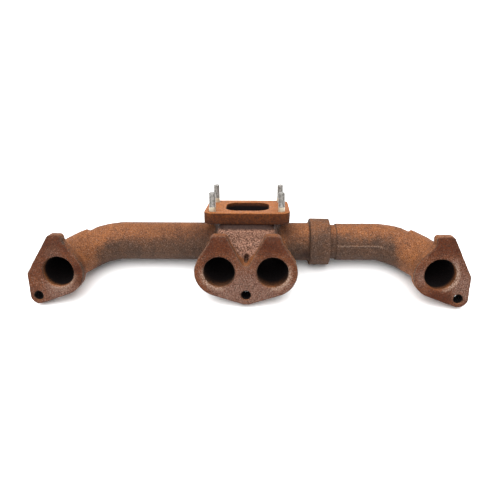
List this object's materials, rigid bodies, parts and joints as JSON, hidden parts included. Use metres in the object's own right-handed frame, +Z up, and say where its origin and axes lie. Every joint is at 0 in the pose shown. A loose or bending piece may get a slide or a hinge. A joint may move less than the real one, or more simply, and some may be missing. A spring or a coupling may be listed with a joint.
{
  "type": "exhaust manifold",
  "caption": "Cast-iron log exhaust manifold with elbowed end ports, a centre port flange, a studded turbocharger flange and a ring-sealed slip joint between its castings.",
  "frame": {"origin": "middle of the lowest plane of the part's box, on the surface that it lies on", "axes": "+X along the log pipe from the fixed arm towards the sliding arm, +Z up, -Y towards the engine side; the part lies leaned back 23.89 degrees about X, so the head faces look along (0, -0.91431, 0.40503) and the turbocharger flange looks along (0, 0.40503, 0.91431)"},
  "size_m": [0.4962, 0.1422, 0.1013],
  "materials": {
    "main_iron": "rough sand-cast skin with an even brown-orange rust bloom",
    "arm_iron": "rough sand-cast skin with an even brown-orange rust bloom",
    "ring_steel": "ground spring steel, lightly heat-stained",
    "stud_steel": "bright zinc-plated steel, rolled thread"
  },
  "bodies": {
    "manifold_body": {"main_casting": "main_iron", "turbo_stud_front_left": "stud_steel", "turbo_stud_front_right": "stud_steel", "turbo_stud_rear_left": "stud_steel", "turbo_stud_rear_right": "stud_steel"},
    "ring_pack": {"seal_ring_inner": "ring_steel", "seal_ring_middle": "ring_steel", "seal_ring_outer": "ring_steel"},
    "sliding_arm": {"right_arm": "arm_iron"}
  },
  "joints": [
    {"name": "slip_slide", "type": "slide", "parent": "manifold_body", "child": "ring_pack", "axis": [1, 0, 0], "range_m": [-0.005, 0.008]},
    {"name": "slip_turn", "type": "hinge", "parent": "ring_pack", "child": "sliding_arm", "pos_m": [0.0987, 0.0157, 0.02849], "axis": [-1, 0, 0], "continuous": true}
  ]
}
